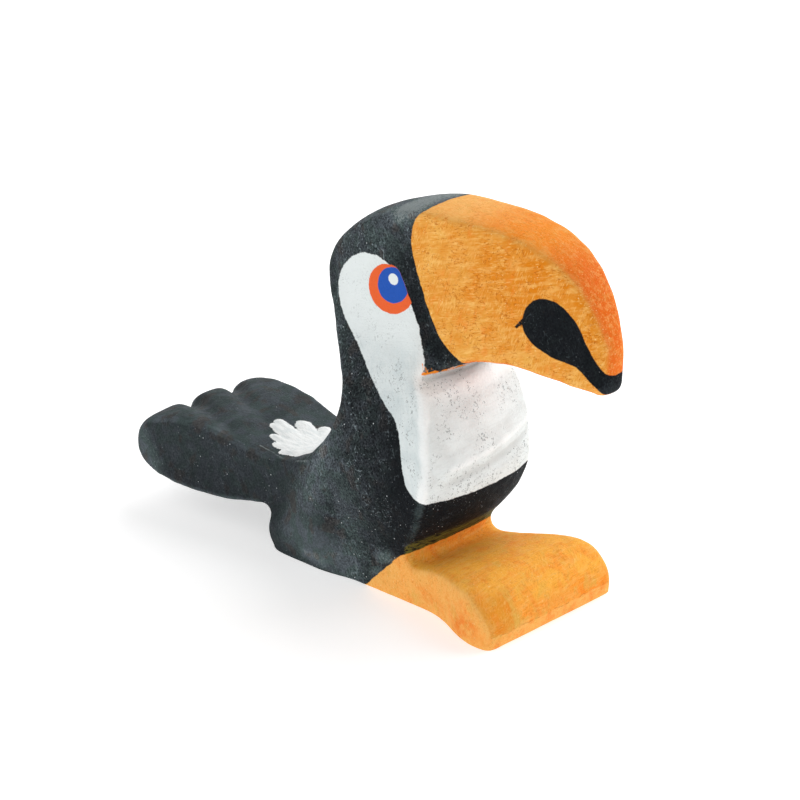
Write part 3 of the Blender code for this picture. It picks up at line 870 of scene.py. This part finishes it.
def white_coat(box, colours):
    """Off-white over black: bluish on the sides, warmer in front, with clusters of pores and cracks, painted
    shade in the hollows, painted highlights on the ridges and painted light on the breast's rim.
    """
    patches = box.clouds(4.5, 0.42, 0.64, 3.0)
    side_strokes = box.strokes(STEEP_STROKE, 4.0, 0.45, 0.46, 0.66)
    level_strokes = box.strokes(ACROSS_STROKE, 3.5, 0.45, 0.46, 0.66)
    colour = box.cover(level_strokes.scaled(0.22, patches * 0.35), colours.white, ASH)
    thin = patches.scaled(0.34, side_strokes.scaled(0.22, 0.30))
    colour = box.cover(thin * box.mark("flank").ramp(0.70, 0.86), colour, colours.chalk)
    colour = box.cover(box.up.ramp(*FACE_UP) * 0.85, colour, colours.white)
    # The breast's rim under the beak, whiter: painted light where the beak shades it.
    rim = box.up.ramp(*PAINTED_LIGHT_RIM_UP) * box.mark("flank").ramp(0.9, 0.5)
    colour = box.cover(rim, colour, colours.fresh_white)
    # Grey in the hollows is painted shade; whiter ridges are painted highlights.
    painted_hollow_shade = box.mark("edge").ramp(0.001, -0.009)
    colour = box.cover(painted_hollow_shade * 0.62, colour, PAINTED_SHADE_GREY)
    painted_ridge_highlight = box.mark("edge").ramp(0.007, 0.016)
    colour = box.cover(painted_ridge_highlight * 0.8, colour, colours.fresh_white)
    cluster = box.clouds(3.6, 0.46, 0.58) * (1.0 - painted_ridge_highlight)
    hairs = box.group("hairs", Size=0.70, Width=0.060)
    pores = box.group("specks", Spacing=0.40, Radius=0.105, Share=0.62)
    marks = (hairs * 0.8).most(pores) * cluster.scaled(0.78, 0.07)
    return box.cover(marks * box.up.ramp(*CALM_FACE_UP, 0.35, 1.0), colour, PORE_GREY)


def orange_coat(box, colours, base, texture, smudging, ways):
    """Strong orange over a base colour: broad dry streaks, brown dashes and hairs, pores, nibs with painted
    glints, and painted highlights along its edges.
    """
    along, across = ways
    colour = box.cover(box.strokes(SLANTED_STROKE, 4.0, 2.0, 0.50, 0.72) * smudging, base, OLIVE_GOLD)
    colour = box.cover(box.strokes(STEEP_STROKE, 3.6, 1.7, 0.50, 0.72) * smudging, colour, RUST)
    swathes = box.strokes(along, 4.5, 0.75, 0.46, 0.66)
    colour = box.cover(swathes * (texture * 0.75), colour, colours.straw)
    ruddy = box.strokes(across, 3.0, 1.1, 0.48, 0.70) * box.clouds(6.0, 0.42, 0.62)
    colour = box.cover(ruddy * (texture * 0.75), colour, RUST)
    level = box.group("brush", Way=along, Length=1.5, Width=0.22)
    steep = box.group("brush", Way=across, Length=1.1, Width=0.22)
    strokes = box.clouds(3.6, 0.42, 0.58).scaled(steep - level, level)
    colour = box.cover(strokes.ramp(0.50, 0.66) * texture, colour, colours.amber)
    colour = box.cover(strokes.ramp(0.47, 0.31) * (texture * 1.2), colour, colours.straw)
    # Straw on convex edges: a painted highlight.
    colour = box.cover(box.mark("edge").ramp(0.010, 0.026) * 0.35, colour, colours.straw)
    hairs = box.group("hairs", Size=0.75, Width=0.075)
    dashes = box.strokes(along, 1.0, 0.18, 0.60, 0.66).most(hairs) * box.clouds(2.4, 0.37, 0.57)
    colour = box.cover(dashes * (texture * 3.0 - 0.76), colour, PORE_BROWN)
    pores = box.group("specks", Spacing=0.70, Radius=0.10, Share=0.22)
    colour = box.cover(pores * 0.45, colour, PORE_BROWN)
    # Straw nibs with painted glints on them.
    nibs_and_glints = box.group("specks", Spacing=0.75, Radius=0.12, Share=0.32)
    return box.cover(nibs_and_glints * 0.55, colour, NIB_AND_GLINT_STRAW)


def beak_paint(box, colours):
    """Gold that drifts to amber on the sides, orange on top, and vermilion under the edge as painted shade
    and reflected light.
    """
    drift = box.group("brush", Way=RISING_STROKE, Length=16.0, Width=3.4)
    corner = box.back.ramp(*BEAK_CORNER_BACK) * box.up.ramp(*BEAK_CORNER_UP)
    amber = drift.ramp(0.34, 0.66).scaled(0.34, corner * 0.62)
    amber = box.clouds(3.0, 0.36, 0.64, 3.0).scaled(0.34, amber - 0.10)
    sides = box.cover(amber, colours.gold, colours.amber)
    top = box.cover(box.back.ramp(*BEAK_TIP_BACK), colours.orange, colours.vermilion)
    top = box.cover(box.back.ramp(*BEAK_ROOT_BACK), top, PEACH)
    upward = box.mark("flank").ramp(0.92, 0.45)
    base = box.cover(upward, sides, top)
    # Vermilion on faces that turn down: painted shade and reflected light under the beak.
    base = box.cover(box.mark("underside").ramp(0.35, 0.85), base, colours.vermilion)
    return orange_coat(box, colours, base, upward.scaled(-0.15, 0.52), 0.12, (LEVEL_STROKE, RISING_STROKE))


def foot_paint(box, colours):
    """Honey on top, partly painted light, peach down the sides, gold in front with orange patches and olive
    smudges, and orange painted shade in the hollows.
    """
    flat = box.mark("underside").ramp(-0.20, -0.65)
    flank = box.mark("flank").ramp(0.45, 0.75)
    patches = box.noise(4.6, 3.0, 0.55).ramp(0.44, 0.64)
    warm = box.across.ramp(*FOOT_ACROSS).scaled(0.70, patches * 0.7)
    base = box.cover(warm, colours.gold, colours.orange)
    # Honey on the top faces: partly the paint's tone, partly painted light where the body above shades the
    # foot.
    base = box.cover(flat * patches.scaled(-0.45, 0.95), base, HONEY_AND_PAINTED_LIGHT)
    base = box.cover(flank * 0.7, base, PEACH)
    # Orange in the hollows: painted shade in the crease above the foot.
    painted_hollow_shade = box.mark("edge").ramp(0.0, -0.014)
    base = box.cover(painted_hollow_shade * 0.45, base, colours.orange)
    base = box.cover(box.mark("foot_rust") * box.clouds(2.0, 0.34, 0.56), base, RUST)
    front = box.back.ramp(*TOES_BACK) * box.mark("flank").ramp(0.7, 0.4)
    wander = box.noise(2.2, 2.0).scaled(4.0, box.across)
    base = box.cover(wander.ramp(*NEAR_TOE_ACROSS) * front * 0.55, base, colours.amber)
    smear = wander.ramp(*SMEAR_NEAR_ACROSS) * wander.ramp(*SMEAR_FAR_ACROSS)
    base = box.cover(smear * front * 0.6, base, OLIVE_GOLD)
    level = box.noise(1.4, 2.0).scaled(0.9, box.up)
    base = box.cover(level.ramp(*TOE_STRIP_UP) * front * 0.7, base, PEACH)
    line = abs(level - TOE_LINE_UP).ramp(0.16, 0.05) * front * box.clouds(1.6, 0.40, 0.50)
    base = box.cover(line * 0.6, base, PORE_BROWN)
    smudging = flat.most(flank).scaled(-0.24, 0.58)
    return orange_coat(box, colours, base, 0.36, smudging, (ACROSS_STROKE, SLANTED_STROKE))


def painted_wood(colours):
    """The whole finish: black, the rump, white, the eye, orange, the beak's spot and the foot."""
    material = bpy.data.materials[PAINTED_WOOD]
    material.use_nodes = True
    tree = material.node_tree
    tree.nodes.clear()
    box = Paintbox(tree)
    bib = box.coat("bib")
    beak = box.coat("beak", 0.18)
    foot = box.coat("foot", 0.22)
    rump = box.coat("rump", 0.35)

    black = black_coat(box, colours)
    lining = box.mark("foot").ramp(*LINING_INSIDE) * box.mark("flank").ramp(0.75, 0.45)
    lining = lining * box.strokes(ACROSS_STROKE, 2.5, 0.35, 0.38, 0.55)
    colour = box.cover(lining * 0.9, black, OLIVE)
    dab_edges = box.strokes(TAILWARD_STROKE, 3.0, 0.7, 0.46, 0.66) * 0.35
    colour = box.cover(rump, colour, box.cover(dab_edges, colours.fresh_white, colours.chalk))
    for share, over in (
            (bib, white_coat(box, colours)),
            (box.coat("eye_ring", 0.12, 0.07), colours.eye_red),
            (box.coat("eye_iris", 0.10, 0.07), colours.eye_blue),
            (box.coat("eye_glint", 0.06, 0.07), colours.white),
            (beak, beak_paint(box, colours)),
            (box.coat("throat", 0.10, 0.06), colours.orange),
            (box.coat("spot", 0.12), black),
            (foot, foot_paint(box, colours))):
        colour = box.cover(share, colour, over)

    heights = (
        box.group("brush", Way=STEEP_STROKE, Length=2.5, Width=0.32) * 0.07,
        box.group("brush", Way=LEVEL_STROKE, Length=2.5, Width=0.32) * 0.07,
        box.noise(0.45, 3.0, 0.65) * 0.10,
        box.group("specks", Spacing=0.85, Radius=0.16, Share=0.36) * 0.05,
        box.group("specks", Spacing=0.42, Radius=0.12, Share=0.55) * -0.04,
        box.group("brush", Way=TAILWARD_STROKE, Length=3.0, Width=0.9) * rump * 0.35,
        bib.most(beak).most(foot.most(rump)) * 0.05,
    )
    bump = put(tree, "ShaderNodeBump", Strength=RELIEF_STRENGTH, Distance=1.0 / PER_MM,
               Height=sum(heights[1:], start=heights[0]))
    shader = put(tree, "ShaderNodeBsdfPrincipled", Base_Color=colour, Normal=bump.outputs[0],
                 Roughness=box.noise(1.2, 3.0).ramp(0.3, 0.7, *ROUGHNESS), Specular_IOR_Level=MATT_SPECULAR)
    put(tree, "ShaderNodeOutputMaterial", Surface=shader.outputs[0])


class TOUCAN_OT_brush_paint(bpy.types.Operator):
    """Brush every coat of paint on the carved block."""
    bl_idname = "toucan.brush_paint"
    bl_label = "Brush on the paint"

    def execute(self, context):
        """Builds the finish on the carved block's material."""
        painted_wood(context.scene.toucan_paints)
        return {"FINISHED"}


def plain_material(name, colour, roughness, glow):
    """A plain finish for what isn't part of the figure."""
    material = bpy.data.materials.new(name)
    material.use_nodes = True
    inputs = material.node_tree.nodes["Principled BSDF"].inputs
    inputs["Base Color"].default_value = colour
    inputs["Roughness"].default_value = roughness
    inputs["Emission Color"].default_value = WHITE
    inputs["Emission Strength"].default_value = glow
    return material


def white_room(studio):
    """White walls all round, a little brighter than the ceiling."""
    room = bpy.data.worlds.new("white_room")
    room.use_nodes = True
    tree = room.node_tree
    way = put(tree, "ShaderNodeTexCoord").outputs["Generated"]
    height = Number(tree, put(tree, "ShaderNodeSeparateXYZ", Vector=way).outputs["Z"])
    background = tree.nodes["Background"]
    feed(tree, background.inputs["Color"], WHITE)
    feed(tree, background.inputs["Strength"], height.ramp(*WALLS_FROM).scaled(studio.walls, studio.sky))
    return room


def soft_light(name, power, size, way):
    """A round soft box that points at the bird from the given direction."""
    lamp = bpy.data.lights.new(name, "AREA")
    lamp.shape = "DISK"
    lamp.size = size
    lamp.energy = power
    item = bpy.data.objects.new(name, lamp)
    direction = Vector(way).normalized()
    item.location = direction * LIGHT_DISTANCE
    item.rotation_euler = direction.to_track_quat("Z", "Y").to_euler()
    return item


class TOUCAN_OT_set_studio(bpy.types.Operator):
    """Set the white table, the soft light and the camera."""
    bl_idname = "toucan.set_studio"
    bl_label = "Set the studio"

    def execute(self, context):
        """Adds the floor, the light and the camera."""
        studio = context.scene.toucan_studio
        add = context.scene.collection.objects.link
        mesh = bpy.data.meshes.new("studio_table")
        corners = [(-TABLE_HALF, -TABLE_HALF, 0.0), (TABLE_HALF, -TABLE_HALF, 0.0),
                   (TABLE_HALF, TABLE_HALF, 0.0), (-TABLE_HALF, TABLE_HALF, 0.0)]
        mesh.from_pydata(corners, [], [(0, 1, 2, 3)])
        table = bpy.data.objects.new("studio_table", mesh)
        mesh.materials.append(plain_material("white_table", TABLE_WHITE, TABLE_ROUGHNESS, studio.floor_glow))
        add(table)

        turn = Euler((math.pi / 2.0 - studio.elevation, 0.0, studio.azimuth))
        lens = bpy.data.cameras.new("photo_view")
        lens.lens = studio.lens
        lens.sensor_width = FILM_WIDTH
        lens.clip_start = NEAREST
        camera = bpy.data.objects.new("photo_view", lens)
        camera.rotation_euler = turn
        camera.location = Vector(studio.aim) + turn.to_matrix() @ Vector((0.0, 0.0, studio.distance))
        add(camera)
        context.scene.camera = camera

        add(soft_light("key_light", studio.key, studio.key_size, studio.key_way))
        add(soft_light("fill_light", studio.fill, studio.fill_size, studio.fill_way))
        context.scene.world = white_room(studio)
        context.scene.view_settings.view_transform = "Standard"
        return {"FINISHED"}


class TOUCAN_PT_workbench(bpy.types.Panel):
    """Lists the steps that finish the toucan."""
    bl_idname = "TOUCAN_PT_workbench"
    bl_label = "Painted toucan"
    bl_space_type = "VIEW_3D"
    bl_region_type = "UI"
    bl_category = "Toucan"

    def draw(self, context):
        """Shows each settings group over the button that uses it."""
        scene = context.scene
        for settings, step in ((scene.toucan_carving, TOUCAN_OT_carve_block),
                               (scene.toucan_paints, TOUCAN_OT_brush_paint),
                               (scene.toucan_studio, TOUCAN_OT_set_studio)):
            column = self.layout.column(align=True)
            for name in settings.bl_rna.properties.keys():
                if name not in ("name", "rna_type"):
                    column.prop(settings, name)
            column.operator(step.bl_idname)


CLASSES = (CarvingSizes, PaintColours, StudioSettings, TOUCAN_OT_carve_block, TOUCAN_OT_brush_paint,
           TOUCAN_OT_set_studio, TOUCAN_PT_workbench)


def register():
    """Adds the classes and the scene's settings."""
    for item in CLASSES:
        bpy.utils.register_class(item)
    bpy.types.Scene.toucan_carving = bpy.props.PointerProperty(type=CarvingSizes)
    bpy.types.Scene.toucan_paints = bpy.props.PointerProperty(type=PaintColours)
    bpy.types.Scene.toucan_studio = bpy.props.PointerProperty(type=StudioSettings)


def unregister():
    """Takes them away again."""
    del bpy.types.Scene.toucan_studio
    del bpy.types.Scene.toucan_paints
    del bpy.types.Scene.toucan_carving
    for item in reversed(CLASSES):
        bpy.utils.unregister_class(item)


def main():
    """Finishes the toucan step by step."""
    register()
    bpy.ops.toucan.carve_block()
    bpy.ops.toucan.brush_paint()
    bpy.ops.toucan.set_studio()


if __name__ == "__main__":
    main()
